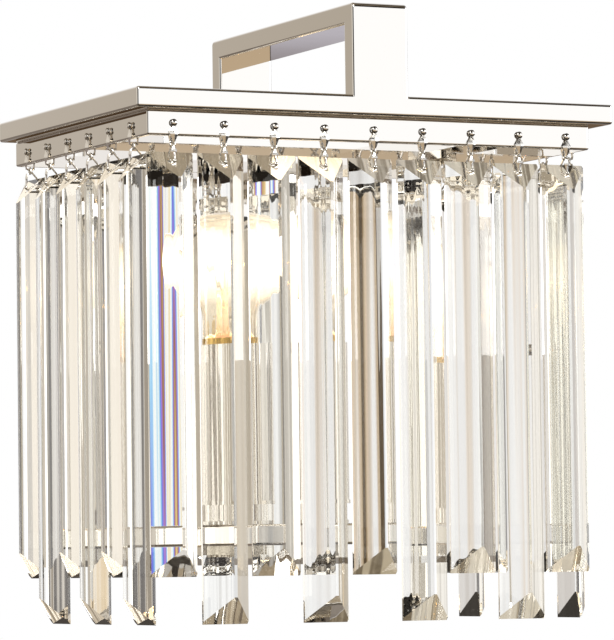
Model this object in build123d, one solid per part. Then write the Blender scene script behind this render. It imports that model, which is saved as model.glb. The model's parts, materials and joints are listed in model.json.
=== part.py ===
from build123d import *
import os

# Crystal wall sconce, in millimetres.
# X runs along the wall, Y runs into the wall and Z is up.
# The origin is the middle of the wall plate, on the wall itself, so the lamp stands on the -Y side.

# ---- crystal rows ----
PITCH = 24.0            # spacing of the crystals along a row
FRONT_COUNT = 9         # crystals across the front
SIDE_COUNT = 6          # crystals down each side
SIDE_FRONT_MARGIN = 17.5    # front face of the band to the first side crystal
SIDE_REAR_MARGIN = 14.5     # last side crystal to the rear of the band

# ---- hanging band ----
BAND_HEIGHT = 11.0
BAND_THICKNESS = 2.0
BAND_EDGE = 0.9         # softened outside edges of the band
EYE_HEIGHT = 5.5        # hanging hole above the band's lower edge
EYE_RADIUS = 1.3
GUSSET_SIZE = 13.0      # corner lug that carries a frame screw
GUSSET_THICKNESS = 2.0

# ---- top frame and arm ----
OVERHANG = 8.0          # frame beyond the band, front and sides
FRAME_HEIGHT = 9.0
FRAME_BAR = 22.0        # width of the flat bar the frame is made of
ARM_WIDTH = 27.0
ARM_THICKNESS = 9.0
ARM_HEIGHT = 40.5       # above the frame
ARM_SETBACK = 10.0      # rear leg to the rear of the frame
ARM_CORNER = 2.0        # outside corner radius of the arm
EDGE = 1.2              # softened long edges of frame and arm

# ---- wall plate ----
PLATE_WIDTH = 114.0
PLATE_FOOT = 3.5        # flat of the plate's face below the lamp's bar
PLATE_DEPTH = 16.0
PLATE_WALL = 1.5
PLATE_BEVEL = 5.0       # slope round the plate's face

# ---- wall bracket ----
BRACKET_HEIGHT = 22.0
BRACKET_THICKNESS = 2.0
BRACKET_TAB = 9.0       # bent end, measured off the wall
WALL_HOLE_SPACING = 60.0
WALL_HOLE_RADIUS = 2.5
CABLE_HOLE_RADIUS = 5.0

# ---- screws ----
SCREW_RADIUS = 1.5
SCREW_HEAD_RADIUS = 2.8
SCREW_HEAD_HEIGHT = 1.8
SCREW_GRIP = 6.0        # thread beyond the sheet it holds
THREAD_GAP = 0.05       # screw in its own hole
HOLE_GAP = 0.2          # screw in a clearance hole

# ---- crystals ----
CRYSTAL_WIDTH = 22.0
CRYSTAL_DEPTH = 10.5
CRYSTAL_SIDE = 1.2      # ground flat along each side edge
CRYSTAL_RIDGE = 1.4     # ground flat along the ridge
CRYSTAL_CUT = 11.5      # height of the sloping cut at each end
SHORT_LENGTH = 182.3
LONG_LENGTH = 202.8
CRYSTAL_DROP = 6.7      # band's lower edge to the crystal's top
CRYSTAL_HOLE_RADIUS = 1.3
CRYSTAL_HOLE_DROP = 5.5
# how far each crystal is turned on its wire, in degrees, as the photograph shows them
FRONT_TURNS = (3.0, 4.0, -5.0, 4.5, 5.0, 1.0, -1.5, -3.0, 3.0)
SIDE_TURNS = (-2.0, 3.0, -4.0, 2.5, -1.5, 2.0)

# ---- hanging wires ----
WIRE_RADIUS = 0.4
WIRE_GAP = 0.05         # one wire resting in another
WIRE_CLEAR = 0.35       # wire beside sheet or glass
HOOK_DROP = 1.7         # lowest wire of the hook under the band
LINK_LENGTH = 3.4       # middle link between its wire centres
LINK_HALF_WIDTH = 1.15

# ---- lamp ----
LAMP_SETBACK = 56.0     # front face of the band to the lamp's middle
BAR_HEIGHT = 9.5        # bar that carries the lamp
BAR_WIDTH = 20.0
BAR_DROP = 175.5        # band's lower edge to the bar's underside
BAR_END = 12.0          # bar beyond the lamp's middle
CHANNEL_HEIGHT = 4.5    # wire channel in the bar
CHANNEL_WIDTH = 10.0
COLLAR_HEIGHT = 10.5
COLLAR_RADIUS = 8.5
FLANGE_RADIUS = 12.5    # the collar's flange, under the sleeve
FLANGE_HEIGHT = 1.6
SLEEVE_RADIUS = 12.0
SLEEVE_WALL = 0.8
SLEEVE_HEIGHT = 70.5
NIPPLE_RADIUS = 5.0
NIPPLE_BORE = 3.0
NIPPLE_GRIP = 5.0       # thread inside the holder's foot
NUT_RADIUS = 8.0        # over its corners
NUT_HEIGHT = 4.0
HOLDER_RADIUS = 10.5
HOLDER_RIM_DROP = 6.0   # holder's rim below the sleeve's rim
SOCKET_FLOOR = 2.0
LEAD_RADIUS = 0.9
LEAD_BEND = 2.6

# ---- bulb ----
CAP_RADIUS = 7.0
CAP_LENGTH = 25.0
CAP_SHOWING = 3.0       # cap above the sleeve's rim
CAP_GAP = 0.3           # cap in its holder
CAP_CREST = 0.35        # height of the thread on the cap
BULB_RADIUS = 21.0
BULB_LENGTH = 57.0      # glass above the cap
BULB_NECK = 6.3
BULB_FOOT = 2.0         # glass down inside the cap
GLASS_WALL = 0.8
STEM_RADIUS = 2.6
STEM_HEIGHT = 24.0
FILAMENT_WIRE = 0.25
FILAMENT_RISE = 13.0
FILAMENT_SPREAD = 7.0

# ---- derived places ----
BAND_WIDTH = FRONT_COUNT * PITCH
BAND_DEPTH = SIDE_FRONT_MARGIN + (SIDE_COUNT - 1) * PITCH + SIDE_REAR_MARGIN
PLATE_HEIGHT = FRAME_HEIGHT + BAND_HEIGHT + BAR_DROP + PLATE_FOOT + PLATE_BEVEL
PLATE_TOP = PLATE_HEIGHT / 2
FRAME_TOP = PLATE_TOP
FRAME_BOTTOM = FRAME_TOP - FRAME_HEIGHT
BAND_BOTTOM = FRAME_BOTTOM - BAND_HEIGHT
PLATE_FACE = -PLATE_DEPTH
BAND_REAR = PLATE_FACE
BAND_FRONT = BAND_REAR - BAND_DEPTH
FRAME_WIDTH = BAND_WIDTH + 2 * OVERHANG
FRAME_FRONT = BAND_FRONT - OVERHANG
ARM_DEPTH = BAND_DEPTH + OVERHANG - ARM_SETBACK
ARM_REAR_LEG = FRAME_FRONT + ARM_DEPTH - ARM_THICKNESS
ARM_SEAT = EDGE         # the seats are as deep as the frame's softened edge
SEAT_LEVEL = FRAME_TOP - ARM_SEAT
EYE_LEVEL = BAND_BOTTOM + EYE_HEIGHT
HINGE_LEVEL = BAND_BOTTOM - HOOK_DROP + 2 * WIRE_RADIUS + WIRE_GAP - LINK_LENGTH
LAMP_Y = BAND_FRONT + LAMP_SETBACK
BAR_BOTTOM = BAND_BOTTOM - BAR_DROP
BAR_TOP = BAR_BOTTOM + BAR_HEIGHT
BAR_MIDDLE = BAR_BOTTOM + BAR_HEIGHT / 2
SLEEVE_BOTTOM = BAR_TOP + COLLAR_HEIGHT
SLEEVE_TOP = SLEEVE_BOTTOM + SLEEVE_HEIGHT
CAP_BOTTOM = SLEEVE_TOP + CAP_SHOWING - CAP_LENGTH
CAP_TOP = CAP_BOTTOM + CAP_LENGTH
HOLDER_TOP = SLEEVE_TOP - HOLDER_RIM_DROP
SOCKET_BOTTOM = CAP_BOTTOM - CAP_GAP
GUSSET_INSET = BAND_THICKNESS + GUSSET_SIZE * 0.38

made = []


def save(node, *solids):
    """Write one node, with one solid or a group of them."""
    shape = solids[0] if len(solids) == 1 else Compound(children=list(solids))
    shape.label = node
    export_step(shape, f"parts/{node}.step")
    made.append(node)


def block(width, depth, height, x, y, z):
    """A box whose lowest corner in Y and Z is given, centred on x."""
    return Pos(x, y + depth / 2, z + height / 2) * Box(width, depth, height)


def rod(radius, length, bottom, x=0.0, y=0.0):
    """An upright cylinder standing on the level given."""
    return Pos(x, y, bottom + length / 2) * Cylinder(radius, length)


def wire_loop(points, fillet):
    """A closed loop of round wire through flat points, with rounded corners."""
    path = FilletPolyline(*points, radius=fillet, close=True)
    start = Plane(origin=path @ 0, z_dir=path % 0)
    return sweep(start * Circle(WIRE_RADIUS), path=path)


def screw(head_at, toward, length):
    """A pan-head screw: its head's underside at a point, its shank along a direction."""
    plane = Plane(origin=head_at, z_dir=toward)
    shank = Pos(0, 0, length / 2) * Cylinder(SCREW_RADIUS, length)
    head = Pos(0, 0, -SCREW_HEAD_HEIGHT / 2) * Cylinder(SCREW_HEAD_RADIUS, SCREW_HEAD_HEIGHT)
    slot = Pos(0, 0, -SCREW_HEAD_HEIGHT) * Box(2 * SCREW_HEAD_RADIUS, 0.7, 1.4)
    return plane.location * (shank + head - slot)


# ---- stations: where the crystals hang ----

def stations():
    """Each hanging place: its name, its point on the band's middle line, its turn about Z."""
    middle = BAND_THICKNESS / 2
    places = []
    for i in range(FRONT_COUNT):
        x = (i - (FRONT_COUNT - 1) / 2) * PITCH
        twist = FRONT_TURNS[i % len(FRONT_TURNS)]
        places.append((f"front_{i + 1}", x, BAND_FRONT + middle, 0.0, i % 2 == 1, twist))
    for side, name, turn in ((-1, "left", -90.0), (1, "right", 90.0)):
        for i in range(SIDE_COUNT):
            y = BAND_FRONT + SIDE_FRONT_MARGIN + i * PITCH
            x = side * (BAND_WIDTH / 2 - middle)
            twist = SIDE_TURNS[i % len(SIDE_TURNS)]
            places.append((f"{name}_{i + 1}", x, y, turn, i % 2 == 0, twist))
    return places


def at_station(x, y, turn):
    """Local frame of a station: the hinge is its origin and -Y points outward."""
    return Location((x, y, HINGE_LEVEL), (0, 0, turn))


# ---- crystals and their wires, drawn about the hinge ----

def crystal(length):
    """A three-sided bar with its flat back at y = 0 and its ridge outward, top at z = 0."""
    half = CRYSTAL_WIDTH / 2
    ridge = CRYSTAL_RIDGE / 2
    section = Polyline(
        (-half, 0), (half, 0), (half, -CRYSTAL_SIDE), (ridge, -CRYSTAL_DEPTH),
        (-ridge, -CRYSTAL_DEPTH), (-half, -CRYSTAL_SIDE), close=True,
    )
    bar = extrude(make_face(section), -length)
    outline = Plane.YZ * Polyline(
        (0, 0), (0, -length), (-CRYSTAL_DEPTH, CRYSTAL_CUT - length), (-CRYSTAL_DEPTH, -CRYSTAL_CUT),
        close=True,
    )
    cut = extrude(make_face(outline), half, both=True)
    hole = Pos(0, 0, -CRYSTAL_HOLE_DROP) * Rot(90, 0, 0) * Cylinder(CRYSTAL_HOLE_RADIUS, 4 * CRYSTAL_DEPTH)
    return (bar & cut) - hole


def hung_crystal(length, turn):
    """The crystal with its middle of mass under the hinge, turned a little on its wire."""
    bar = crystal(length)
    back = -bar.center(CenterOf.MASS).Y
    top = BAND_BOTTOM - CRYSTAL_DROP - HINGE_LEVEL
    return Rot(0, 0, turn) * Pos(0, back, top) * bar, back, top


def band_hook():
    """The wire that goes through the band's eye and round its lower edge."""
    half = BAND_THICKNESS / 2 + WIRE_CLEAR + WIRE_RADIUS
    bottom = BAND_BOTTOM - HOOK_DROP - HINGE_LEVEL
    top = EYE_LEVEL - EYE_RADIUS + WIRE_RADIUS + WIRE_GAP - HINGE_LEVEL
    return wire_loop(((0, -half, bottom), (0, half, bottom), (0, half, top), (0, -half, top)), 2 * WIRE_RADIUS)


def middle_link():
    """The flat link between the hook and the crystal's ring, across the hook."""
    half = LINK_HALF_WIDTH
    points = ((-half, 0, 0), (half, 0, 0), (half, 0, LINK_LENGTH), (-half, 0, LINK_LENGTH))
    return wire_loop(points, half * 0.9)


def crystal_ring(back, top):
    """The ring that swings on the middle link and goes through the crystal's hole."""
    rise = 2 * WIRE_RADIUS + WIRE_GAP
    seat = top - CRYSTAL_HOLE_DROP + CRYSTAL_HOLE_RADIUS - WIRE_RADIUS - WIRE_GAP
    facet = back - (top - seat) * CRYSTAL_DEPTH / CRYSTAL_CUT
    rear = back + WIRE_CLEAR + WIRE_RADIUS
    front = facet - WIRE_CLEAR - 2 * WIRE_RADIUS
    points = (
        (0, front, seat), (0, rear, seat), (0, rear, top + 2.2 * WIRE_RADIUS),
        (0, 1.5 * rise, rise), (0, -1.5 * rise, rise), (0, front - WIRE_RADIUS, top / 2 - rise),
    )
    return wire_loop(points, WIRE_RADIUS * 1.5)


# ---- top frame, arm and band ----

def top_frame():
    """A flat rectangular ring of bar, open in the middle, with two shallow seats for the arm."""
    depth = BAND_DEPTH + OVERHANG
    outer = block(FRAME_WIDTH, depth, FRAME_HEIGHT, 0, FRAME_FRONT, FRAME_BOTTOM)
    front_edges = outer.edges().filter_by(lambda e: e.center().Y < BAND_REAR - EDGE)
    outer = fillet(front_edges, EDGE)
    opening = block(
        FRAME_WIDTH - 2 * FRAME_BAR, depth - 2 * FRAME_BAR, FRAME_HEIGHT + 2,
        0, FRAME_FRONT + FRAME_BAR, FRAME_BOTTOM - 1,
    )
    ring = outer - opening
    ring -= block(ARM_WIDTH, ARM_THICKNESS + EDGE, 2 * ARM_SEAT, 0, FRAME_FRONT - EDGE, SEAT_LEVEL)
    ring -= block(ARM_WIDTH, ARM_THICKNESS, 2 * ARM_SEAT, 0, ARM_REAR_LEG, SEAT_LEVEL)
    for x, y in gusset_points():
        ring -= rod(SCREW_RADIUS + THREAD_GAP, SCREW_GRIP + 0.5, FRAME_BOTTOM - 0.01, x, y)
    return ring


def arm_loop():
    """The inverted-U arm of flat bar, its front post flush with the frame's front face."""
    outer = block(ARM_WIDTH, ARM_DEPTH, ARM_HEIGHT + ARM_SEAT, 0, FRAME_FRONT, SEAT_LEVEL)
    top_corners = outer.edges().filter_by(Axis.X).group_by(Axis.Z)[-1]
    outer = fillet(top_corners, ARM_CORNER)
    gap = ARM_HEIGHT + ARM_SEAT - ARM_THICKNESS
    inner = block(
        2 * ARM_WIDTH, ARM_DEPTH - 2 * ARM_THICKNESS, 2 * gap,
        0, FRAME_FRONT + ARM_THICKNESS, SEAT_LEVEL - gap,
    )
    loop = outer - inner
    long_edges = loop.edges().filter_by(lambda e: e.center().Z > FRAME_TOP + 1 and abs(e.center().X) > 1)
    return fillet(long_edges, EDGE)


def gusset_points():
    """The four screw places, one in each corner of the band."""
    x = BAND_WIDTH / 2 - GUSSET_INSET
    return [(sx * x, y) for sx in (-1, 1) for y in (BAND_FRONT + GUSSET_INSET, BAND_REAR - GUSSET_INSET)]


def rail_points():
    """Where the band's rear bar is screwed to the wall plate."""
    x = PLATE_WIDTH / 2 - 3 * PLATE_BEVEL
    return [(s * x, BAND_BOTTOM + BAND_HEIGHT / 2) for s in (-1, 1)]


def hanging_band():
    """A ring of strip on edge, with an eye for every crystal and a lug in each corner."""
    outer = block(BAND_WIDTH, BAND_DEPTH, BAND_HEIGHT, 0, BAND_FRONT, BAND_BOTTOM)
    shown_edges = outer.edges().filter_by(lambda e: e.center().Y < BAND_REAR - BAND_EDGE)
    outer = fillet(shown_edges, BAND_EDGE)
    inside_width = BAND_WIDTH - 2 * BAND_THICKNESS
    inside_depth = BAND_DEPTH - 2 * BAND_THICKNESS
    inner = block(
        inside_width, inside_depth, BAND_HEIGHT + 2, 0, BAND_FRONT + BAND_THICKNESS, BAND_BOTTOM - 1,
    )
    band = outer - inner
    corner_x = BAND_WIDTH / 2 - BAND_THICKNESS
    lug_level = FRAME_BOTTOM - GUSSET_THICKNESS
    for sx in (-1, 1):
        for y, sy in ((BAND_FRONT + BAND_THICKNESS, 1), (BAND_REAR - BAND_THICKNESS, -1)):
            lug = Polyline(
                (sx * corner_x, y), (sx * (corner_x - GUSSET_SIZE), y), (sx * corner_x, y + sy * GUSSET_SIZE),
                close=True,
            )
            band += extrude(Pos(0, 0, lug_level) * make_face(lug), GUSSET_THICKNESS, dir=(0, 0, 1))
    for x, y in gusset_points():
        band -= rod(SCREW_RADIUS + HOLE_GAP, 3 * GUSSET_THICKNESS, lug_level - GUSSET_THICKNESS, x, y)
    for x, z in rail_points():
        hole = Pos(x, BAND_REAR, z) * Rot(90, 0, 0) * Cylinder(SCREW_RADIUS + HOLE_GAP, 4 * BAND_THICKNESS)
        band -= hole
    for name, x, y, turn, is_long, twist in stations():
        eye = Rot(90, 0, 0) * Cylinder(EYE_RADIUS, 3 * BAND_THICKNESS)
        band -= Location((x, y, EYE_LEVEL), (0, 0, turn)) * eye
    return band


# ---- wall plate and bracket ----

def back_plate():
    """A pressed pan: bevelled face, four returned sides, open towards the wall."""
    pan = Pos(0, PLATE_FACE / 2, 0) * Box(PLATE_WIDTH, PLATE_DEPTH, PLATE_HEIGHT)
    face_edges = pan.faces().sort_by(Axis.Y)[0].edges()
    pan = chamfer(face_edges, PLATE_BEVEL * 0.6, PLATE_BEVEL)
    hollow_depth = PLATE_DEPTH - PLATE_WALL
    hollow = Pos(0, -hollow_depth / 2, 0) * Box(
        PLATE_WIDTH - 2 * PLATE_WALL, hollow_depth, PLATE_HEIGHT - 2 * PLATE_WALL,
    )
    hollow_edges = hollow.faces().sort_by(Axis.Y)[0].edges()
    hollow = chamfer(hollow_edges, PLATE_BEVEL * 0.6, PLATE_BEVEL)
    pan -= hollow
    for x, z in rail_points():
        pan -= Pos(x, PLATE_FACE, z) * Rot(90, 0, 0) * Cylinder(SCREW_RADIUS + THREAD_GAP, 4 * PLATE_WALL)
    pan -= Pos(0, PLATE_FACE, BAR_MIDDLE) * Box(CHANNEL_WIDTH, 4 * PLATE_WALL, CHANNEL_HEIGHT)
    side_hole = Rot(0, 90, 0) * Cylinder(SCREW_RADIUS + HOLE_GAP, PLATE_WIDTH + 2)
    pan -= Pos(0, -BRACKET_TAB / 2, 0) * side_hole
    return pan


def wall_bracket():
    """A strap screwed to the wall, with bent ends that take the plate's side screws."""
    width = PLATE_WIDTH - 2 * PLATE_WALL - 1.0
    strap = Pos(0, -BRACKET_THICKNESS / 2, 0) * Box(width, BRACKET_THICKNESS, BRACKET_HEIGHT)
    for s in (-1, 1):
        tab_x = s * (width / 2 - BRACKET_THICKNESS / 2)
        strap += Pos(tab_x, -BRACKET_TAB / 2, 0) * Box(BRACKET_THICKNESS, BRACKET_TAB, BRACKET_HEIGHT)
    across = Rot(90, 0, 0) * Cylinder(WALL_HOLE_RADIUS, 4 * BRACKET_THICKNESS)
    for s in (-1, 1):
        strap -= Pos(s * WALL_HOLE_SPACING / 2, 0, 0) * across
    strap -= Rot(90, 0, 0) * Cylinder(CABLE_HOLE_RADIUS, 4 * BRACKET_THICKNESS)
    side_hole = Rot(0, 90, 0) * Cylinder(SCREW_RADIUS + THREAD_GAP, PLATE_WIDTH)
    return strap - Pos(0, -BRACKET_TAB / 2, 0) * side_hole


def plate_screws():
    """One screw through each side of the plate into the bracket's bent end."""
    length = PLATE_WALL + BRACKET_THICKNESS + 2.0
    x = PLATE_WIDTH / 2
    y = -BRACKET_TAB / 2
    return [screw((s * x, y, 0), (-s, 0, 0), length) for s in (-1, 1)]


def frame_screws():
    """Four screws up through the band's lugs into the frame, and two through its rear bar."""
    screws = []
    lug_level = FRAME_BOTTOM - GUSSET_THICKNESS
    for x, y in gusset_points():
        screws.append(screw((x, y, lug_level), (0, 0, 1), GUSSET_THICKNESS + SCREW_GRIP))
    for x, z in rail_points():
        screws.append(screw((x, BAND_REAR - BAND_THICKNESS, z), (0, 1, 0), BAND_THICKNESS + SCREW_GRIP))
    return screws


# ---- lamp arm and lamp ----

def lamp_arm():
    """A hollow bar that stands out from the wall plate and ends under the lamp."""
    length = PLATE_FACE - LAMP_Y + BAR_END
    bar = block(BAR_WIDTH, length, BAR_HEIGHT, 0, LAMP_Y - BAR_END, BAR_BOTTOM)
    bar = fillet(bar.edges().filter_by(lambda e: e.center().Y < PLATE_FACE - EDGE), EDGE)
    channel = block(
        CHANNEL_WIDTH, PLATE_FACE - LAMP_Y + CHANNEL_WIDTH / 2 + 1, CHANNEL_HEIGHT,
        0, LAMP_Y - CHANNEL_WIDTH / 2, BAR_MIDDLE - CHANNEL_HEIGHT / 2,
    )
    bar -= channel
    return bar - rod(NIPPLE_RADIUS + HOLE_GAP, BAR_HEIGHT + 2, BAR_BOTTOM - 1, 0, LAMP_Y)


def lamp_collar():
    """A turned spacer on the bar, with a flange that the sleeve stands on."""
    collar = rod(COLLAR_RADIUS, COLLAR_HEIGHT, BAR_TOP, 0, LAMP_Y)
    collar += rod(FLANGE_RADIUS, FLANGE_HEIGHT, SLEEVE_BOTTOM - FLANGE_HEIGHT, 0, LAMP_Y)
    collar += rod(FLANGE_RADIUS - SLEEVE_WALL, FLANGE_HEIGHT, BAR_TOP, 0, LAMP_Y)
    return collar - rod(NIPPLE_RADIUS + HOLE_GAP, COLLAR_HEIGHT + 2, BAR_TOP - 1, 0, LAMP_Y)


def lamp_nipple():
    """The threaded tube that clamps holder, collar and bar together."""
    bottom = BAR_BOTTOM - NUT_HEIGHT - 1.0
    top = SLEEVE_BOTTOM + NIPPLE_GRIP
    tube = rod(NIPPLE_RADIUS, top - bottom, bottom, 0, LAMP_Y)
    tube -= rod(NIPPLE_BORE, top - bottom, bottom + NUT_HEIGHT, 0, LAMP_Y)
    return tube - Pos(0, LAMP_Y + NIPPLE_RADIUS, BAR_MIDDLE) * Box(
        CHANNEL_HEIGHT, 2 * NIPPLE_RADIUS, CHANNEL_HEIGHT,
    )


def nipple_nut():
    """The six-sided nut under the bar."""
    foot = BAR_BOTTOM - NUT_HEIGHT
    nut = extrude(Pos(0, LAMP_Y, foot) * RegularPolygon(NUT_RADIUS, 6), NUT_HEIGHT)
    return nut - rod(NIPPLE_RADIUS + THREAD_GAP, NUT_HEIGHT + 2, foot - 1, 0, LAMP_Y)


def candle_sleeve():
    """The plain polished tube round the lamp holder."""
    tube = rod(SLEEVE_RADIUS, SLEEVE_HEIGHT, SLEEVE_BOTTOM, 0, LAMP_Y)
    return tube - rod(SLEEVE_RADIUS - SLEEVE_WALL, SLEEVE_HEIGHT + 2, SLEEVE_BOTTOM - 1, 0, LAMP_Y)


def lamp_holder():
    """The holder inside the sleeve: a foot on the nipple and a socket for the bulb's cap."""
    holder = rod(HOLDER_RADIUS, HOLDER_TOP - SLEEVE_BOTTOM, SLEEVE_BOTTOM, 0, LAMP_Y)
    holder -= rod(CAP_RADIUS + CAP_GAP, CAP_LENGTH, SOCKET_BOTTOM, 0, LAMP_Y)
    holder -= rod(NIPPLE_RADIUS + THREAD_GAP, NIPPLE_GRIP + 1, SLEEVE_BOTTOM - 1, 0, LAMP_Y)
    wire_way = SOCKET_BOTTOM - SOCKET_FLOOR - SLEEVE_BOTTOM
    return holder - rod(NIPPLE_BORE, wire_way, SLEEVE_BOTTOM, 0, LAMP_Y)


def bulb_cap():
    """The screw cap: a cup with thread crests and a contact at its foot."""
    contact = 3.0
    pitch = 2.8
    cap = rod(CAP_RADIUS - CAP_CREST, CAP_LENGTH - contact, CAP_BOTTOM + contact, 0, LAMP_Y)
    cap += rod(CAP_RADIUS / 2, contact, CAP_BOTTOM, 0, LAMP_Y)
    for i in range(6):
        cap += rod(CAP_RADIUS, pitch / 2, CAP_BOTTOM + 2 * contact + i * pitch, 0, LAMP_Y)
    return cap - rod(BULB_NECK + THREAD_GAP, BULB_FOOT + 1, CAP_TOP - BULB_FOOT, 0, LAMP_Y)


def bulb_outline(inset):
    """Half outline of the round bulb, drawn in from the outside by an inset."""
    radius = BULB_RADIUS - inset
    centre = CAP_TOP + BULB_LENGTH - BULB_RADIUS
    neck = BULB_NECK - inset
    foot = CAP_TOP - BULB_FOOT
    shoulder = (radius * 0.8, centre - radius * 0.6)
    side = ThreePointArc((0, centre + radius), (radius, centre), shoulder)
    flank = Spline(shoulder, (neck, foot + 5 * BULB_FOOT), tangents=((-0.6, -0.8), (0, -1)))
    return side, flank, (neck, foot)


def bulb_glass():
    """A hollow round bulb, blown thin, with its neck in the cap."""
    side, flank, foot = bulb_outline(0)
    inner_side, inner_flank, inner_foot = bulb_outline(GLASS_WALL)
    outline = [side, flank, Line(flank @ 1, foot), Line(foot, inner_foot)]
    outline += [Line(inner_foot, inner_flank @ 1), inner_flank, inner_side, Line(inner_side @ 0, side @ 0)]
    section = Plane.XZ * make_face(Curve() + outline)
    return Pos(0, LAMP_Y, 0) * revolve(section, Axis.Z)


def bulb_filament():
    """The glass stem with its support wires and the coiled filament between them."""
    foot = CAP_TOP - BULB_FOOT
    stem = rod(STEM_RADIUS, STEM_HEIGHT, foot, 0, LAMP_Y)
    stem = fillet(stem.edges().group_by(Axis.Z)[-1], STEM_RADIUS * 0.6)
    top = foot + STEM_HEIGHT
    for s in (-1, 1):
        start = Vector(s * STEM_RADIUS * 0.5, LAMP_Y, top - 2)
        end = Vector(s * FILAMENT_SPREAD, LAMP_Y, top + FILAMENT_RISE)
        reach = (end - start).length
        post = Plane(origin=start, z_dir=end - start)
        stem += post.location * Pos(0, 0, reach / 2) * Cylinder(2 * FILAMENT_WIRE, reach)
    bridge = Rot(0, 90, 0) * Cylinder(2.4 * FILAMENT_WIRE, 2 * FILAMENT_SPREAD)
    return stem + Pos(0, LAMP_Y, top + FILAMENT_RISE) * bridge


def lead_wire(side):
    """One insulated lead from behind the wall plate through the bar and nipple to the holder."""
    lane = side * CHANNEL_WIDTH * 0.12
    path = FilletPolyline(
        (lane, -PLATE_DEPTH / 2, BAR_MIDDLE), (lane, LAMP_Y, BAR_MIDDLE),
        (lane, LAMP_Y, SOCKET_BOTTOM - 2 * SOCKET_FLOOR), radius=LEAD_BEND,
    )
    start = Plane(origin=path @ 0, z_dir=path % 0)
    return sweep(start * Circle(LEAD_RADIUS), path=path)


# ---- write every node ----

os.makedirs("parts", exist_ok=True)

save("back_plate", back_plate())
save("wall_bracket", wall_bracket())
save("plate_screws", *plate_screws())
save("top_frame", top_frame())
save("arm_loop", arm_loop())
save("hanging_band", hanging_band())
save("frame_screws", *frame_screws())
save("lamp_arm", lamp_arm())
save("lamp_collar", lamp_collar())
save("lamp_nipple", lamp_nipple(), nipple_nut())
save("candle_sleeve", candle_sleeve())
save("lamp_holder", lamp_holder())
save("bulb_cap", bulb_cap())
save("bulb_glass", bulb_glass())
save("bulb_filament", bulb_filament())
save("lead_wires", lead_wire(-1), lead_wire(1))

hook = band_hook()
link = middle_link()
save("band_hooks", *[at_station(x, y, turn) * hook for name, x, y, turn, is_long, twist in stations()])
save("middle_links", *[at_station(x, y, turn) * link for name, x, y, turn, is_long, twist in stations()])

for name, x, y, turn, is_long, twist in stations():
    length = LONG_LENGTH if is_long else SHORT_LENGTH
    bar, back, top = hung_crystal(length, twist)
    place = at_station(x, y, turn)
    row, number = name.rsplit("_", 1)
    save(f"{row}_crystal_{number}", place * bar)
    save(f"{row}_ring_{number}", place * crystal_ring(back, top))

print(len(made), "nodes written")
print("hinge level", round(HINGE_LEVEL, 3), "band front", round(BAND_FRONT, 3), "lamp y", round(LAMP_Y, 3))
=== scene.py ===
import json
import math

import bmesh
import bpy
from mathutils import Matrix, Vector


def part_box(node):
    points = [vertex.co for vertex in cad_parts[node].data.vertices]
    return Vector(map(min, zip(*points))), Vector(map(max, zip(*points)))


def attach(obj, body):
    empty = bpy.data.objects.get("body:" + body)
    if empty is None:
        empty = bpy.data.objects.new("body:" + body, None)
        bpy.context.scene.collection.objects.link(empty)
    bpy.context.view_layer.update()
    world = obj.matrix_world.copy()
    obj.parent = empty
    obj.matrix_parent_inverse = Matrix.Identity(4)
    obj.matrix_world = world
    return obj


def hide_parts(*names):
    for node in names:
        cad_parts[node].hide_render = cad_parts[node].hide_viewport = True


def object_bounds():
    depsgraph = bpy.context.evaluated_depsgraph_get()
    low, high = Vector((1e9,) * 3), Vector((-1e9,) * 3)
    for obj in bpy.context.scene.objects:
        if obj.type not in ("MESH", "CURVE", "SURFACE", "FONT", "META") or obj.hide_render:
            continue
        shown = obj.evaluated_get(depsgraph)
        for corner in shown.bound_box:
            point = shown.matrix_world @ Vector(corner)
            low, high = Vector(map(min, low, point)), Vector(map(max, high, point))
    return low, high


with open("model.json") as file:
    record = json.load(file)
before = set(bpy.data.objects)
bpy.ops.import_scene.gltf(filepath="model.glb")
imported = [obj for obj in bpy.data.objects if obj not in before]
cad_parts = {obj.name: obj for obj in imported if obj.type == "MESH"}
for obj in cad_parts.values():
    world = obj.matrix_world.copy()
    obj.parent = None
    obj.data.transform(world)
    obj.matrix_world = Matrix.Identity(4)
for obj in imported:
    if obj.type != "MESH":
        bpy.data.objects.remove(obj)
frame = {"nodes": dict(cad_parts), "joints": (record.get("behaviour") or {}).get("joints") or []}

# Everything is in metres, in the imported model's own frame: the wall is the plane y = 0,
# the sconce stands out toward -Y and Z is up.
MM = 0.001
UP = Vector((0, 0, 1))
CAD_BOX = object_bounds()

# ---- the photograph's camera ----
IMAGE_WIDTH, IMAGE_HEIGHT = 614, 640
VIEW_AZIMUTH = -25.54       # degrees round from straight in front, toward the left
VIEW_ELEVATION = -3.16      # the camera looks slightly up
VIEW_ROLL = -0.74
VIEW_DISTANCE = 1921 * MM
VIEW_TARGET = Vector((0, -98, 2)) * MM
FOCAL_PIXELS = 4248.6
CENTRE_X, CENTRE_Y = 307.45, 333.57     # where the lens axis meets the picture
SENSOR_WIDTH = 36.0

# ---- the lamp, placed by the solids ----
BULB_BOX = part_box("bulb_glass")
LAMP_X = 0.0                # on the sconce's middle line
LAMP_Y = (BULB_BOX[0][1] + BULB_BOX[1][1]) / 2

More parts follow.
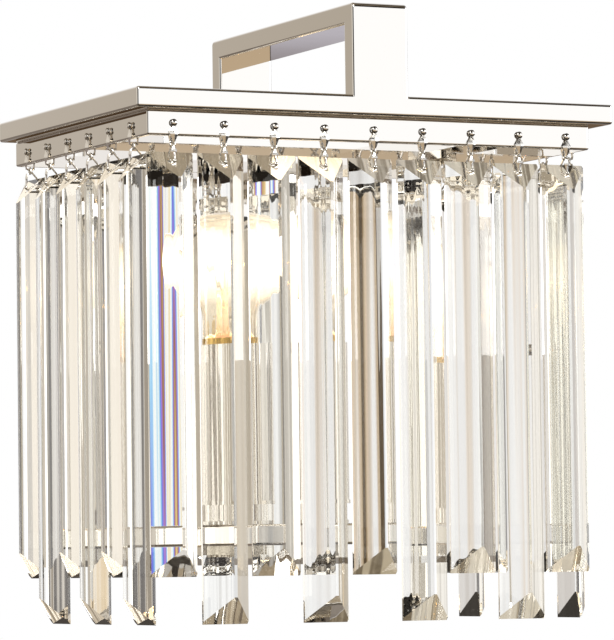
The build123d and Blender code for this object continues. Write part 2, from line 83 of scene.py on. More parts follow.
# ---- sizes of the patterns in the surfaces ----
BUFFING_WAVE = 0.05 * MM    # height of the ripples that a buffing wheel leaves
HAZE_LEAST, HAZE_MOST = 0.6, 1.7    # shares of a metal's roughness, from clear to hazy
ZINC_SPANGLE = 4 * MM
PLASTIC_MOTTLE = 6 * MM
PLASTIC_GRAIN = 0.05 * MM
RUBBER_BLOOM = 3 * MM
CRYSTAL_STRIA = 6 * MM      # striae across a bar
CRYSTAL_DRAW = 0.008        # share of that density along a bar, which draws the striae out
CRYSTAL_WAVE = 0.22 * MM    # depth of the striae, drawn deep enough to show
BULB_STREAK = 14 * MM
BULB_WAVE = 0.3 * MM
STEM_SEED = 2 * MM
STEM_WAVE = 0.1 * MM
COIL_RIPPLE = 2 * MM

# ---- clips, in millimetres about each crystal's hinge ----
CLIP_WIRE = 0.42            # radius of the wire
CLIP_OFF = 1.95             # clip's legs from the band's middle line
EYE_RISE = 9.75             # middle of the band's eye above the hinge
EYE_SEAT = 8.9              # where the upper clip rests in the eye
CLIP_WAIST = 5.0            # middle of the upper clip's legs
CLIP_BEND = 2.2             # where its legs begin to close
CLIP_FOOT = 0.9             # its lowest bend
NECK_RADIUS = 0.5           # where a pressed shape meets its wire
LINK_HALF = 1.2             # half of the link's width at its widest
LINK_END = 0.8              # half of the width of its two ends
LINK_FOOT = -0.3
LINK_WIDEST = 0.7           # height of its widest part
LINK_TOP = 2.3
HOOK_TOP = 0.75             # top of the lower clip, inside the link
CRYSTAL_EYE = -7.6          # where the lower clip goes through the crystal
STUD_RISE = 1.0             # middle of the lower clip's stud above the crystal's hole

# ---- inside of the bulb, in millimetres above its foot ----
POST_WIRE = 0.28
ANCHOR_WIRE = 0.16
COIL_WIRE = 0.2
COIL_HALF = 6.5             # half of the coil's length
COIL_RISE = 36.5
COIL_RADIUS = 0.9
COIL_TURNS = 26
COIL_STEPS = 8              # straight steps in a turn of the coil

# ---- studio ----
FLOOR_RADIUS = 1400 * MM
FLOOR_DROP = 180 * MM       # from the lowest crystal to the floor
LAMP_AIM = Vector((0, -100, 0)) * MM
LAMP_SIZE = 900 * MM
CAMERA_LIGHT = 1.0          # strength of the white that the lens sees
PLAIN_LIGHT = 0.75          # strength of the light on dull surfaces
ROOM_LIGHT = 1.08           # strength of the room in gloss and through glass
FOLD_SCALE = 90.0           # folds of the room's drapes in a whole turn, roughly
FOLD_SHARE = 0.8            # how far the folds shade the drapes
GLASS_BOUNCES = 28
GLOSS_BOUNCES = 12


# ---- small helpers ----

def linear(hex_colour, gain=1.0):
    """A linear colour from an sRGB hex value, with a gain for what is brighter than white."""
    values = [int(hex_colour[i:i + 2], 16) / 255 for i in (1, 3, 5)]
    curve = [v / 12.92 if v <= 0.04045 else ((v + 0.055) / 1.055) ** 2.4 for v in values]
    return (*(gain * v for v in curve), 1.0)


def grey(value):
    """A linear grey, for masks and strengths."""
    return (value, value, value, 1.0)


def add_node(tree, kind, settings=None, inputs=None, stops=()):
    """Adds a node with its properties, its set or linked inputs and any stops of a colour ramp.

    A stop is a position with an sRGB hex value or a linear colour."""
    node = tree.nodes.new(kind)
    for name, value in (settings or {}).items():
        setattr(node, name, value)
    for name, value in (inputs or {}).items():
        socket = node.inputs[name]
        if isinstance(value, bpy.types.NodeSocket):
            tree.links.new(value, socket)
        else:
            socket.default_value = value
    if stops:
        elements = node.color_ramp.elements
        while len(elements) < len(stops):
            elements.new(0.5)
        for element, (position, colour) in zip(elements, stops):
            element.position = position
            element.color = linear(colour) if isinstance(colour, str) else colour
    return node


# a Mix node's settings for colours
BLEND = {"data_type": "RGBA"}
MULTIPLY = {"data_type": "RGBA", "blend_type": "MULTIPLY"}


def new_material(name):
    """An empty node material, its tree and its object coordinates."""
    material = bpy.data.materials.new(name)
    material.use_nodes = True
    tree = material.node_tree
    tree.nodes.clear()
    return material, tree, add_node(tree, "ShaderNodeTexCoord").outputs["Object"]


# ---- materials ----

def polished_metal(name, colour, roughness, wave_mm, haze_mm):
    """Buffed and plated metal: a mirror with slow ripples from the buffing wheel and faint haze."""
    material, tree, place = new_material(name)
    haze = add_node(tree, "ShaderNodeTexNoise", inputs={
        "Vector": place, "Scale": 1 / (haze_mm * MM), "Detail": 3.0, "Roughness": 0.55})
    rough = add_node(tree, "ShaderNodeMapRange", inputs={
        "Value": haze.outputs["Fac"], "From Min": 0.3, "From Max": 0.75,
        "To Min": roughness * HAZE_LEAST, "To Max": roughness * HAZE_MOST})
    wave = add_node(tree, "ShaderNodeTexNoise", inputs={
        "Vector": place, "Scale": 1 / (wave_mm * MM), "Detail": 0.0})
    bump = add_node(tree, "ShaderNodeBump", inputs={
        "Height": wave.outputs["Fac"], "Strength": 0.12, "Distance": BUFFING_WAVE})
    shader = add_node(tree, "ShaderNodeBsdfPrincipled", inputs={
        "Base Color": linear(colour), "Metallic": 1.0, "Roughness": rough.outputs["Result"],
        "Normal": bump.outputs["Normal"]})
    add_node(tree, "ShaderNodeOutputMaterial", inputs={"Surface": shader.outputs["BSDF"]})
    return material


def zinc_sheet():
    """Zinc plated steel: bluish grey with a soft spangle, seen only from behind."""
    material, tree, place = new_material("zinc plated steel")
    spangle = add_node(tree, "ShaderNodeTexVoronoi", inputs={
        "Vector": place, "Scale": 1 / ZINC_SPANGLE})
    tint = add_node(tree, "ShaderNodeValToRGB", inputs={"Fac": spangle.outputs["Color"]}, stops=[
        (0.0, "#9EA2A6"), (1.0, "#B9BCBF")])
    shader = add_node(tree, "ShaderNodeBsdfPrincipled", inputs={
        "Base Color": tint.outputs["Color"], "Metallic": 1.0, "Roughness": 0.38})
    add_node(tree, "ShaderNodeOutputMaterial", inputs={"Surface": shader.outputs["BSDF"]})
    return material


def moulded_phenolic():
    """Moulded lamp-holder plastic: warm white, slightly mottled, with a soft sheen."""
    material, tree, place = new_material("moulded phenolic")
    mottle = add_node(tree, "ShaderNodeTexNoise", inputs={
        "Vector": place, "Scale": 1 / PLASTIC_MOTTLE, "Detail": 4.0})
    tint = add_node(tree, "ShaderNodeValToRGB", inputs={"Fac": mottle.outputs["Fac"]}, stops=[
        (0.3, "#DAD6CB"), (0.7, "#E9E6DE")])
    grain = add_node(tree, "ShaderNodeBump", inputs={
        "Height": mottle.outputs["Fac"], "Strength": 0.15, "Distance": PLASTIC_GRAIN})
    shader = add_node(tree, "ShaderNodeBsdfPrincipled", inputs={
        "Base Color": tint.outputs["Color"], "Roughness": 0.42, "Normal": grain.outputs["Normal"]})
    add_node(tree, "ShaderNodeOutputMaterial", inputs={"Surface": shader.outputs["BSDF"]})
    return material


def silicone_lead():
    """Extruded lead insulation: matt ivory rubber."""
    material, tree, place = new_material("silicone insulation")
    bloom = add_node(tree, "ShaderNodeTexNoise", inputs={
        "Vector": place, "Scale": 1 / RUBBER_BLOOM})
    tint = add_node(tree, "ShaderNodeValToRGB", inputs={"Fac": bloom.outputs["Fac"]}, stops=[
        (0.3, "#CFCBC0"), (0.7, "#DEDACF")])
    shader = add_node(tree, "ShaderNodeBsdfPrincipled", inputs={
        "Base Color": tint.outputs["Color"], "Roughness": 0.6})
    add_node(tree, "ShaderNodeOutputMaterial", inputs={"Surface": shader.outputs["BSDF"]})
    return material


def cut_crystal():
    """Cut and polished crystal: clear, heavy glass, its facets slightly hollow along their length."""
    material, tree, place = new_material("cut crystal")
    draw = add_node(tree, "ShaderNodeMapping", inputs={
        "Vector": place, "Scale": (1.0, 1.0, CRYSTAL_DRAW)})
    hollow = add_node(tree, "ShaderNodeTexNoise", inputs={
        "Vector": draw.outputs["Vector"], "Scale": 1 / CRYSTAL_STRIA, "Detail": 0.6,
        "Roughness": 0.4})
    facing = add_node(tree, "ShaderNodeSeparateXYZ", inputs={
        "Vector": place.node.outputs["Normal"]})
    slant = add_node(tree, "ShaderNodeMath", {"operation": "ABSOLUTE"}, {0: facing.outputs["Z"]})
    # the slanted end facets are ground flatter than the long ones
    depth = add_node(tree, "ShaderNodeMapRange", inputs={
        "Value": slant.outputs["Value"], "From Min": 0.1, "From Max": 0.3,
        "To Min": 0.6, "To Max": 0.08})
    bump = add_node(tree, "ShaderNodeBump", inputs={
        "Height": hollow.outputs["Fac"], "Strength": depth.outputs["Result"],
        "Distance": CRYSTAL_WAVE})
    shader = add_node(tree, "ShaderNodeBsdfPrincipled", inputs={
        "Base Color": linear("#FDFDFB"), "Roughness": 0.0, "IOR": 1.545,
        "Transmission Weight": 1.0, "Normal": bump.outputs["Normal"]})
    add_node(tree, "ShaderNodeOutputMaterial", inputs={"Surface": shader.outputs["BSDF"]})
    return material


def blown_glass():
    """The lit bulb's blown glass: clear, with a painted glow that is brightest round the filament, and
    clearer towards the neck.
    """
    material, tree, place = new_material("blown bulb glass")
    streak = add_node(tree, "ShaderNodeTexNoise", inputs={
        "Vector": place, "Scale": 1 / BULB_STREAK})
    bump = add_node(tree, "ShaderNodeBump", inputs={
        "Height": streak.outputs["Fac"], "Strength": 0.2, "Distance": BULB_WAVE})
    height = add_node(tree, "ShaderNodeSeparateXYZ", inputs={"Vector": place})
    share = add_node(tree, "ShaderNodeMapRange", inputs={
        "Value": height.outputs["Z"], "From Min": BULB_BOX[0][2], "From Max": BULB_BOX[1][2]})
    # painted glow: the clear glass emits light by height, brightest at the filament's height, in place
    # of the filament's glare
    glow = add_node(tree, "ShaderNodeValToRGB", inputs={"Fac": share.outputs["Result"]}, stops=[
        (0.0, grey(0.0)), (0.30, grey(0.08)), (0.60, grey(0.60)), (0.85, grey(0.30)),
        (1.0, grey(0.08))])
    tint = add_node(tree, "ShaderNodeMix", MULTIPLY, {
        "Factor": 1.0, "A": glow.outputs["Color"], "B": linear("#FFF1DA")})
    shader = add_node(tree, "ShaderNodeBsdfPrincipled", inputs={
        "Base Color": linear("#F1EBE0"), "Roughness": 0.0, "IOR": 1.5, "Transmission Weight": 1.0,
        "Normal": bump.outputs["Normal"], "Emission Color": tint.outputs["Result"],
        "Emission Strength": 1.0})
    add_node(tree, "ShaderNodeOutputMaterial", inputs={"Surface": shader.outputs["BSDF"]})
    return material


def stem_glass():
    """The bulb's pressed glass stem: clear, with a painted soft peach glow for the light that falls on
    it from above.
    """
    material, tree, place = new_material("pressed glass stem")
    seeds_and_glow = add_node(tree, "ShaderNodeTexNoise", inputs={"Vector": place, "Scale": 1 / STEM_SEED})
    bump = add_node(tree, "ShaderNodeBump", inputs={
        "Height": seeds_and_glow.outputs["Fac"], "Strength": 0.2, "Distance": STEM_WAVE})
    # painted glow: the seed noise also mottles a peach emission that stands in for the filament's
    # light on the stem
    tint = add_node(tree, "ShaderNodeValToRGB", inputs={"Fac": seeds_and_glow.outputs["Fac"]}, stops=[
        (0.3, "#E8B98A"), (0.7, "#F7D6AE")])
    shader = add_node(tree, "ShaderNodeBsdfPrincipled", inputs={
        "Base Color": linear("#F4E8D8"), "Roughness": 0.05, "IOR": 1.5, "Transmission Weight": 1.0,
        "Normal": bump.outputs["Normal"], "Emission Color": tint.outputs["Color"],
        "Emission Strength": 0.45})
    add_node(tree, "ShaderNodeOutputMaterial", inputs={"Surface": shader.outputs["BSDF"]})
    return material


def hot_filament():
    """Glowing tungsten: warm white, a little uneven from turn to turn."""
    material, tree, place = new_material("glowing tungsten")
    ripple = add_node(tree, "ShaderNodeTexNoise", inputs={
        "Vector": place, "Scale": 1 / COIL_RIPPLE})
    tint = add_node(tree, "ShaderNodeValToRGB", inputs={"Fac": ripple.outputs["Fac"]}, stops=[
        (0.3, "#FFC878"), (0.7, "#FFE2A8")])
    shader = add_node(tree, "ShaderNodeBsdfPrincipled", inputs={
        "Base Color": linear("#FFD9A0"), "Roughness": 0.5,
        "Emission Color": tint.outputs["Color"], "Emission Strength": 12.0})
    add_node(tree, "ShaderNodeOutputMaterial", inputs={"Surface": shader.outputs["BSDF"]})
    return material


def floor_paint():
    """Plain pale paint under the hung sconce, without a pattern, because it is only a stage."""
    material, tree = new_material("pale floor")[:2]
    shader = add_node(tree, "ShaderNodeBsdfPrincipled", inputs={
        "Base Color": linear("#E9E6E1"), "Roughness": 0.8})
    add_node(tree, "ShaderNodeOutputMaterial", inputs={"Surface": shader.outputs["BSDF"]})
    return material


# name, colour, roughness, then the length of its ripples and of its haze in millimetres
NICKEL = polished_metal("polished nickel", "#F7F5F2", 0.02, 34, 12)
SLEEVE_NICKEL = polished_metal("drawn nickel tube", "#F4F0EA", 0.04, 18, 6)
WIRE_NICKEL = polished_metal("nickel wire", "#F0EDE8", 0.15, 3, 1)
SCREW_NICKEL = polished_metal("nickel screw", "#D3CEC5", 0.18, 4, 2)
BRASS = polished_metal("rolled brass", "#D0AE6C", 0.14, 6, 2)
PLATED_BRASS = polished_metal("nickel plated brass", "#C9C2B6", 0.14, 6, 2)
ZINC = zinc_sheet()
PHENOLIC = moulded_phenolic()
LEAD = silicone_lead()
CRYSTAL = cut_crystal()
BULB_GLASS = blown_glass()
STEM_GLASS = stem_glass()
TUNGSTEN = hot_filament()

NODE_FINISH = {
    "back_plate": NICKEL, "top_frame": NICKEL, "arm_loop": NICKEL, "hanging_band": NICKEL,
    "lamp_arm": NICKEL, "lamp_collar": SLEEVE_NICKEL, "candle_sleeve": SLEEVE_NICKEL,
    "wall_bracket": ZINC, "plate_screws": SCREW_NICKEL, "frame_screws": SCREW_NICKEL,
    "lamp_nipple": PLATED_BRASS, "bulb_cap": BRASS, "lamp_holder": PHENOLIC,
    "bulb_glass": BULB_GLASS, "bulb_filament": STEM_GLASS, "lead_wires": LEAD,
}


def finish_for(node):
    """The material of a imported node, by its name."""
    if node in NODE_FINISH:
        return NODE_FINISH[node]
    return CRYSTAL if "crystal" in node else WIRE_NICKEL


for node_name, node_object in frame["nodes"].items():
    for material_slot in node_object.material_slots:
        material_slot.material = finish_for(node_name)


# ---- making pieces ----

def turned(profile, steps):
    """A mesh spun round the upright axis from (radius, height) points in millimetres, pole to pole."""
    mesh = bmesh.new()
    points = [mesh.verts.new((radius * MM, 0, height * MM)) for radius, height in profile]
    lines = [mesh.edges.new(pair) for pair in zip(points, points[1:])]
    bmesh.ops.spin(
        mesh, geom=points + lines, cent=(0, 0, 0), axis=UP, angle=math.tau, steps=steps,
        use_merge=True)
    bmesh.ops.remove_doubles(mesh, verts=mesh.verts, dist=0.001 * MM)
    bmesh.ops.recalc_face_normals(mesh, faces=mesh.faces)
    data = bpy.data.meshes.new("turned")
    mesh.to_mesh(data)
    mesh.free()
    return data


def bent_wire(points, radius, closed, smooth=True):
    """Round wire along points in millimetres, as a mesh."""
    curve = bpy.data.curves.new("wire", "CURVE")
    curve.dimensions = "3D"
    curve.bevel_depth = radius * MM
    curve.bevel_resolution = 2
    curve.resolution_u = 4
    curve.use_fill_caps = not closed
    spline = curve.splines.new("NURBS" if smooth else "POLY")
    spline.points.add(len(points) - 1)
    for point, place in zip(spline.points, points):
        point.co = (*(Vector(place) * MM), 1.0)
    if smooth:
        spline.order_u = 3
        spline.use_endpoint_u = not closed
    spline.use_cyclic_u = closed
    holder = bpy.data.objects.new("wire", curve)
    data = bpy.data.meshes.new_from_object(holder)
    bpy.data.objects.remove(holder)
    return data


def join(mesh, data, place):
    """Moves a part into place and adds it to a piece's mesh."""
    data.transform(place)
    mesh.from_mesh(data)
    bpy.data.meshes.remove(data)


def piece(name, mesh, material, body, slot, *nodes):
    """A finished piece that rides on a body, takes the given material and hides the solids that it
    stands for.
    """
    bmesh.ops.remove_doubles(mesh, verts=mesh.verts, dist=0.001 * MM)
    data = bpy.data.meshes.new(name)
    mesh.to_mesh(data)
    mesh.free()
    data.materials.append(material)
    data.shade_smooth()
    data.set_sharp_from_angle(angle=math.radians(32))
    thing = bpy.data.objects.new(name, data)
    bpy.context.collection.objects.link(thing)
    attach(thing, body)
    if nodes:
        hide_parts(*nodes)


# ---- hangers: pressed clips between the band and each crystal ----

def ball(radius, height, steps):
    """The half outline of a ball, as (radius, height) points."""
    return [
        (radius * math.sin(math.pi * i / steps), height - radius * math.cos(math.pi * i / steps))
        for i in range(steps + 1)]


def drop(widest, top, middle, bottom):
    """The half outline of a pressed diamond that narrows to a neck at both ends."""
    neck = NECK_RADIUS
    return [
        (0.0, bottom), (neck, bottom), (widest * 0.78, middle - widest * 0.5), (widest, middle),
        (widest * 0.55, middle + widest * 0.75), (neck, top), (0.0, top)]


def flat_at(away, depth):
    """Sets a turned part toward the room from the hinge, pressed to a share of its depth."""
    return Matrix.Translation((0, -away * MM, 0)) @ Matrix.Diagonal((1, depth, 1, 1))


def hanging_places():
    """Each crystal's body, with the local frame of its hinge: X across, Y inward, Z up."""
    places = []
    for joint in frame["joints"]:
        inward = Vector(joint["axis"]).cross(UP)
        across = inward.cross(UP)
        turn = Matrix((across, inward, UP)).transposed().to_4x4()
        places.append((joint["child"], Matrix.Translation(Vector(joint["pos_m"])) @ turn))
    return places


def band_clip(mesh, place):
    """The upper clip: a ball before the band's eye, a diamond below it and a leg behind the band."""
    off = CLIP_OFF
    loop = [
        (0, -off, EYE_SEAT), (0, -off, CLIP_WAIST), (0, -off, CLIP_BEND), (0, 0, CLIP_FOOT),
        (0, off, CLIP_BEND), (0, off, CLIP_WAIST), (0, off, EYE_SEAT)]
    join(mesh, bent_wire(loop, CLIP_WIRE, closed=True), place)
    stud = ball(radius=1.6, height=EYE_RISE, steps=10)
    join(mesh, turned(stud, 16), place @ flat_at(off, depth=0.55))
    for side, widest in ((off, 2.15), (-off, 1.5)):
        diamond = drop(widest, top=8.3, middle=5.4, bottom=1.5)
        join(mesh, turned(diamond, 4), place @ flat_at(side, depth=0.4))


def clip_link(mesh, place):
    """The small ring between the two clips, across them."""
    loop = [
        (-LINK_HALF, 0, LINK_WIDEST), (-LINK_END, 0, LINK_FOOT), (LINK_END, 0, LINK_FOOT),
        (LINK_HALF, 0, LINK_WIDEST), (LINK_END, 0, LINK_TOP), (-LINK_END, 0, LINK_TOP)]
    join(mesh, bent_wire(loop, CLIP_WIRE, closed=True), place)


def crystal_clip(mesh, place, front, rear):
    """The lower clip: from the link down both sides of the crystal and through its hole."""
    loop = [
        (0, -0.5, HOOK_TOP), (0, -front * 0.7, -1.2), (0, -front, -4.0), (0, -front, CRYSTAL_EYE),
        (0, -front * 0.4, CRYSTAL_EYE), (0, rear, CRYSTAL_EYE), (0, rear, -3.5), (0, 1.4, -0.4),
        (0, 0.7, HOOK_TOP)]
    join(mesh, bent_wire(loop, CLIP_WIRE, closed=True), place)
    tear = drop(widest=1.45, top=-0.3, middle=-2.3, bottom=-5.2)
    join(mesh, turned(tear, 4), place @ flat_at(front * 0.85, depth=0.5))
    stud = ball(radius=0.95, height=CRYSTAL_EYE + STUD_RISE, steps=8)
    join(mesh, turned(stud, 12), place @ flat_at(front, depth=0.7))


def hangers():
    """The clips of all the crystals, each lower one on its own crystal's body."""
    clips, links = bmesh.new(), bmesh.new()
    for body, place in hanging_places():
        band_clip(clips, place)
        clip_link(links, place)
        ring = body.replace("crystal", "ring")
        corners = [place.inverted() @ Vector(corner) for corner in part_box(ring)]
        reach = sorted(corner.y / MM for corner in corners)
        lower = bmesh.new()
        crystal_clip(lower, place, -reach[0] - CLIP_WIRE, reach[1] - CLIP_WIRE)
        piece(body.replace("crystal", "clip"), lower, WIRE_NICKEL, body, "nickel_wire", ring)
    piece("upper_clips", clips, WIRE_NICKEL, "fixture", "nickel_wire", "band_hooks")
    piece("clip_links", links, WIRE_NICKEL, "fixture", "nickel_wire", "middle_links")


# ---- inside the bulb ----

def glass_stem(middle):
    """The pressed stem that carries the lead posts."""
    stem = bmesh.new()
    join(stem, turned([
        (0, 1), (4.6, 1), (4.2, 2.4), (2.8, 5), (2.3, 8), (2.1, 19), (2.7, 21.5), (2.4, 23.5),
        (1.2, 24.6), (0, 24.8)], 24), middle)
    piece("bulb_stem", stem, STEM_GLASS, "fixture", "stem_glass", "bulb_filament")


def filament_posts(middle):
    """The two lead posts, with the thin anchor between them that holds the coil's middle."""
    posts = bmesh.new()
    for side in (-1, 1):
        post = [(side * 1.1, 0, 22), (side * 3.5, 0, 27), (side * COIL_HALF, 0, COIL_RISE)]
        join(posts, bent_wire(post, POST_WIRE, closed=False), middle)
    anchor = [(0, 0, 24), (0.4, 0.3, 30), (0, 0, COIL_RISE)]
    join(posts, bent_wire(anchor, ANCHOR_WIRE, closed=False), middle)
    piece("filament_posts", posts, SCREW_NICKEL, "fixture", "nickel_screw")


def filament_coil(middle):
    """The glowing coil across the tops of the posts."""
    steps = COIL_TURNS * COIL_STEPS
    coil = [(
        COIL_HALF * (2 * i / steps - 1),
        COIL_RADIUS * math.cos(math.tau * i / COIL_STEPS),
        COIL_RISE + COIL_RADIUS * math.sin(math.tau * i / COIL_STEPS)) for i in range(steps + 1)]
    glow = bmesh.new()
    join(glow, bent_wire(coil, COIL_WIRE, closed=False, smooth=False), middle)
    piece("filament_coil", glow, TUNGSTEN, "fixture", "stem_glass")


hangers()
bulb_foot = Matrix.Translation((LAMP_X, LAMP_Y, BULB_BOX[0][2]))
glass_stem(bulb_foot)
filament_posts(bulb_foot)
filament_coil(bulb_foot)


# ---- the studio's tones ----
# A turn of 0 or 1 is straight in front of the sconce, 0.25 its left, 0.5 the wall, 0.75 its right.
# A lift of 0 is straight down, 0.5 level and 1 straight up.

# windows behind the room's light drapes
BRIGHT_DRAPE = linear("#FFFBF4", gain=1.6)

# what polished metal mirrors, round the sconce
PANELS = [
    (0.000, "#FFFFFF"), (0.085, "#FFFFFF"), (0.095, "#1D1A17"), (0.205, "#2B2723"),
    (0.235, "#D9D4CC"), (0.340, "#DDD6CB"), (0.385, "#A79D8D"), (0.418, "#A99F90"),
    (0.440, "#B9B0A4"), (0.470, "#DDD8D2"), (0.520, "#F6F5F5"), (0.630, "#F3F3F5"),
    (0.700, "#B5B8BE"), (0.785, "#D3D2D1"), (0.795, "#24211F"), (0.868, "#1B1917"),
    (0.878, "#FFFFFF")]
# the same from floor to ceiling, on the room's side and on the wall's side
AHEAD = [
    (0.00, "#5A5044"), (0.05, "#2B2622"), (0.28, "#2B2622"), (0.32, "#B5A48C"),
    (0.440, "#BCA689"), (0.488, "#D2C8B9"), (0.500, "#FFFFFF"), (0.590, "#FFFFFF"),
    (0.602, "#23201E"), (0.800, "#2E2924"), (0.900, "#9A8B76")]
BEHIND = [
    (0.00, "#8A8176"), (0.36, "#8E867E"), (0.415, "#B3AEB4"), (0.438, "#BDB9C0"),
    (0.443, "#5A4A3A"), (0.455, "#7A6650"), (0.470, "#A9A3A0"), (0.500, "#FFFFFF"),
    (0.80, "#F2F0EE"), (0.92, "#DAD7D3"), (0.95, "#8E7D66")]
BEHIND_SHARE = [(0.17, grey(0.0)), (0.23, grey(1.0)), (0.77, grey(1.0)), (0.80, grey(0.0))]

# what shows through the crystals, round the sconce
DRAPES = [
    (0.060, "#B9AF9F"), (0.130, BRIGHT_DRAPE), (0.360, BRIGHT_DRAPE), (0.395, "#F2E9DA"),
    (0.431, "#F8F0E4"), (0.436, "#6B6866"), (0.445, "#7A7674"), (0.450, "#F8F0E4"),
    (0.464, "#E0C9A4"), (0.476, "#F9F4EB"), (0.505, "#F6F1EA"), (0.522, "#D8CEC2"),
    (0.529, "#77767A"), (0.560, "#67666A"), (0.572, "#FFFFFF"), (0.622, "#FFFFFF"),
    (0.629, "#C0B7A8"), (0.636, "#E3C078"), (0.640, "#FFFFFF"), (0.654, "#FFFFFF"),
    (0.668, "#CFCAC6"), (0.680, "#FFFEFA"), (0.7285, "#F3F2F4"), (0.732, "#D2A758"),
    (0.735, "#5E482C"), (0.742, "#7A6C5B"), (0.750, "#B6B5B7"), (0.776, "#A09FA3"),
    (0.790, BRIGHT_DRAPE), (0.862, "#C4B6A3"), (0.918, "#4A3524"), (0.945, "#E9E6E1")]
# a narrow spectrum that another prism throws into the room, between two turns
SPECTRUM_START, SPECTRUM_END = 0.6425, 0.6485
SPECTRUM = [
    (0.00, "#FFFFFF"), (0.10, "#E8C98A"), (0.20, "#9A6A4A"), (0.28, "#B68AD8"),
    (0.35, "#6F7AE6"), (0.42, "#9AD3F4"), (0.49, "#F2FAFA"), (0.62, "#FFFFFF"),
    (0.72, "#F6E3AE"), (0.84, "#FFFFFF")]
# light and dark in the folds of the drapes
FOLDS = [(0.35, "#827A6E"), (0.42, "#FFFFFF"), (0.62, "#FFFFFF"), (0.70, "#C9CBD0")]
# from a pale floor to a pale ceiling, but for a bronze stretch low on the wall's side
PALE = [
    (0.10, "#D2C9BC"), (0.430, "#E2DBCF"), (0.470, "#FFFFFF"), (0.60, "#FFFFFF"),
    (0.72, "#DDD3C3"), (1.0, "#BDB4A6")]
BRONZE = [
    (0.20, "#D2C8B9"), (0.335, "#D8CFC1"), (0.352, "#8C7553"), (0.41, "#7D6648"),
    (0.442, "#A8957A"), (0.454, "#F4EFE7"), (0.470, "#FFFFFF"), (0.60, "#FFFFFF"),
    (0.64, "#E2D3BA"), (0.72, "#B8A98F"), (0.85, "#8F8470"), (1.0, "#6F6658")]
BRONZE_SHARE = [(0.480, grey(0.0)), (0.488, grey(1.0)), (0.602, grey(1.0)), (0.610, grey(0.0))]


# ---- studio ----

def mirrored_room(tree, turn, lift):
    """Panels of white, beige and dark round the sconce, for its polished metal."""
    panels, share = [
        add_node(tree, "ShaderNodeValToRGB", inputs={"Fac": turn}, stops=stops).outputs["Color"]
        for stops in (PANELS, BEHIND_SHARE)]
    ahead, behind = [
        add_node(tree, "ShaderNodeValToRGB", inputs={"Fac": lift}, stops=stops).outputs["Color"]
        for stops in (AHEAD, BEHIND)]
    storey = add_node(tree, "ShaderNodeMix", BLEND, {"Factor": share, "A": ahead, "B": behind})
    return add_node(tree, "ShaderNodeMix", MULTIPLY, {
        "Factor": 1.0, "A": panels, "B": storey.outputs["Result"]}).outputs["Result"]


def room_through_glass(tree, turn, lift):
    """A bright room with drapes and one narrow spectrum, as it shows through the crystals."""
    spread = add_node(tree, "ShaderNodeMapRange", inputs={
        "Value": turn, "From Min": SPECTRUM_START, "From Max": SPECTRUM_END})
    folds = add_node(tree, "ShaderNodeTexNoise", {"noise_dimensions": "1D"}, {
        "W": turn, "Scale": FOLD_SCALE, "Detail": 2.0, "Roughness": 0.6})
    drapes, spectrum, shade, share, pale, bronze = [
        add_node(tree, "ShaderNodeValToRGB", inputs={"Fac": factor}, stops=stops).outputs["Color"]
        for factor, stops in (
            (turn, DRAPES), (spread.outputs["Result"], SPECTRUM), (folds.outputs["Fac"], FOLDS),
            (turn, BRONZE_SHARE), (lift, PALE), (lift, BRONZE))]
    room = add_node(tree, "ShaderNodeMix", MULTIPLY, {"Factor": 1.0, "A": drapes, "B": spectrum})
    hung = add_node(tree, "ShaderNodeMix", MULTIPLY, {
        "Factor": FOLD_SHARE, "A": room.outputs["Result"], "B": shade})
    height = add_node(tree, "ShaderNodeMix", BLEND, {"Factor": share, "A": pale, "B": bronze})
    return add_node(tree, "ShaderNodeMix", MULTIPLY, {
        "Factor": 1.0, "A": hung.outputs["Result"], "B": height.outputs["Result"]}).outputs["Result"]


def studio_world():
    """White for the lens and for dull surfaces, and a room of its own for gloss and for glass."""
    world = bpy.data.worlds.new("studio")
    bpy.context.scene.world = world
    world.use_nodes = True
    tree = world.node_tree
    tree.nodes.clear()
    direction = add_node(tree, "ShaderNodeTexCoord").outputs["Generated"]
    parts = add_node(tree, "ShaderNodeSeparateXYZ", inputs={"Vector": direction})
    around = add_node(tree, "ShaderNodeMath", {"operation": "ARCTAN2"}, {
        0: parts.outputs["X"], 1: parts.outputs["Y"]})
    turn = add_node(tree, "ShaderNodeMapRange", inputs={
        "Value": around.outputs["Value"], "From Min": -math.pi, "From Max": math.pi})
    lift = add_node(tree, "ShaderNodeMapRange", inputs={
        "Value": parts.outputs["Z"], "From Min": -1.0, "From Max": 1.0})
    mirrored, through = [
        make(tree, turn.outputs["Result"], lift.outputs["Result"])
        for make in (mirrored_room, room_through_glass)]

    seen, shader, gloss, glass = [
        add_node(tree, "ShaderNodeBackground", inputs={
            "Color": colour, "Strength": strength}).outputs["Background"]
        for colour, strength in (
            (linear("#FFFFFF"), CAMERA_LIGHT), (linear("#FFFFFF"), PLAIN_LIGHT),
            (mirrored, ROOM_LIGHT), (through, ROOM_LIGHT))]
    rays = add_node(tree, "ShaderNodeLightPath")
    for kind, light in (
            ("Is Glossy Ray", gloss), ("Is Transmission Ray", glass), ("Is Camera Ray", seen)):
        shader = add_node(tree, "ShaderNodeMixShader", inputs={
            0: rays.outputs[kind], 1: shader, 2: light}).outputs["Shader"]
    add_node(tree, "ShaderNodeOutputWorld", inputs={"Surface": shader})


def floor():
    """A plain pale floor below the hung sconce."""
    mesh = bpy.data.meshes.new("floor")
    disc = bmesh.new()
    bmesh.ops.create_circle(disc, cap_ends=True, radius=FLOOR_RADIUS, segments=96)
    bmesh.ops.translate(disc, verts=disc.verts, vec=(0, 0, CAD_BOX[0][2] - FLOOR_DROP))
    disc.to_mesh(mesh)
    disc.free()
    mesh.materials.append(floor_paint())
    ground = bpy.data.objects.new("floor", mesh)
    bpy.context.collection.objects.link(ground)
    # gloss and glass meet the studio's own lower half instead
    ground.visible_glossy = False
    ground.visible_transmission = False


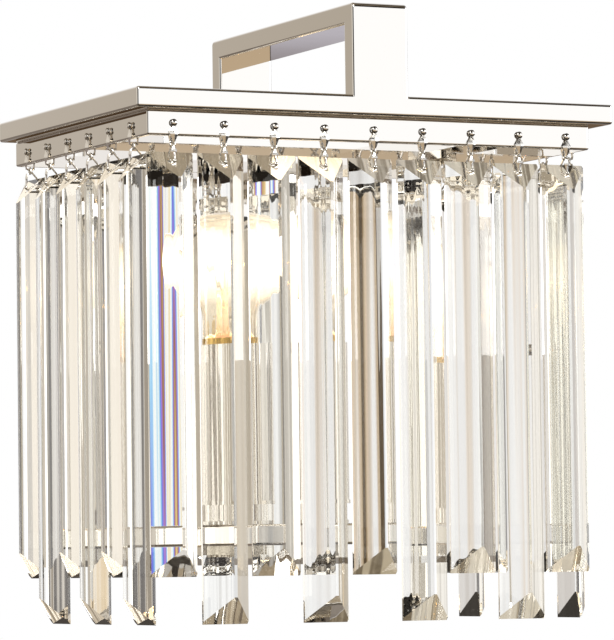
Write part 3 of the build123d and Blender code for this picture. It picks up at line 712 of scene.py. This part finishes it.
def soft_lamp(name, place, power, colour):
    """A soft square lamp that is aimed at the sconce, with its place in metres."""
    data = bpy.data.lights.new(name, "AREA")
    data.shape = "SQUARE"
    data.size = LAMP_SIZE
    data.energy = power
    data.color = linear(colour)[:3]
    lamp = bpy.data.objects.new(name, data)
    bpy.context.collection.objects.link(lamp)
    aim = (LAMP_AIM - Vector(place)).to_track_quat("-Z", "Y")
    lamp.matrix_world = Matrix.Translation(Vector(place)) @ aim.to_matrix().to_4x4()


def camera():
    """The photograph's camera, from its measured direction, distance and lens."""
    azimuth, elevation = math.radians(VIEW_AZIMUTH), math.radians(VIEW_ELEVATION)
    roll = math.radians(VIEW_ROLL)
    back = Vector((
        math.sin(azimuth) * math.cos(elevation),
        -math.cos(azimuth) * math.cos(elevation),
        math.sin(elevation)))
    level_right = (-back).cross(UP).normalized()
    level_up = level_right.cross(-back)
    right = math.cos(roll) * level_right + math.sin(roll) * level_up
    up = math.cos(roll) * level_up - math.sin(roll) * level_right
    data = bpy.data.cameras.new("photograph camera")
    data.sensor_fit = "HORIZONTAL"
    data.sensor_width = SENSOR_WIDTH
    data.lens = FOCAL_PIXELS / IMAGE_WIDTH * SENSOR_WIDTH
    data.shift_x = (IMAGE_WIDTH / 2 - CENTRE_X) / IMAGE_WIDTH
    data.shift_y = (CENTRE_Y - IMAGE_HEIGHT / 2) / IMAGE_WIDTH
    view = bpy.data.objects.new("photograph camera", data)
    bpy.context.collection.objects.link(view)
    turn = Matrix((right, up, back)).transposed().to_4x4()
    view.matrix_world = Matrix.Translation(VIEW_TARGET + back * VIEW_DISTANCE) @ turn
    bpy.context.scene.camera = view


camera()
studio_world()
floor()
soft_lamp("key", place=(-0.9, -1.5, 1.1), power=16, colour="#FFFDF8")
soft_lamp("fill", place=(1.3, -1.0, 0.5), power=7, colour="#FFFFFF")

scene = bpy.context.scene
scene.view_settings.view_transform = "Standard"
scene.cycles.max_bounces = GLASS_BOUNCES
scene.cycles.transmission_bounces = GLASS_BOUNCES
scene.cycles.glossy_bounces = GLOSS_BOUNCES
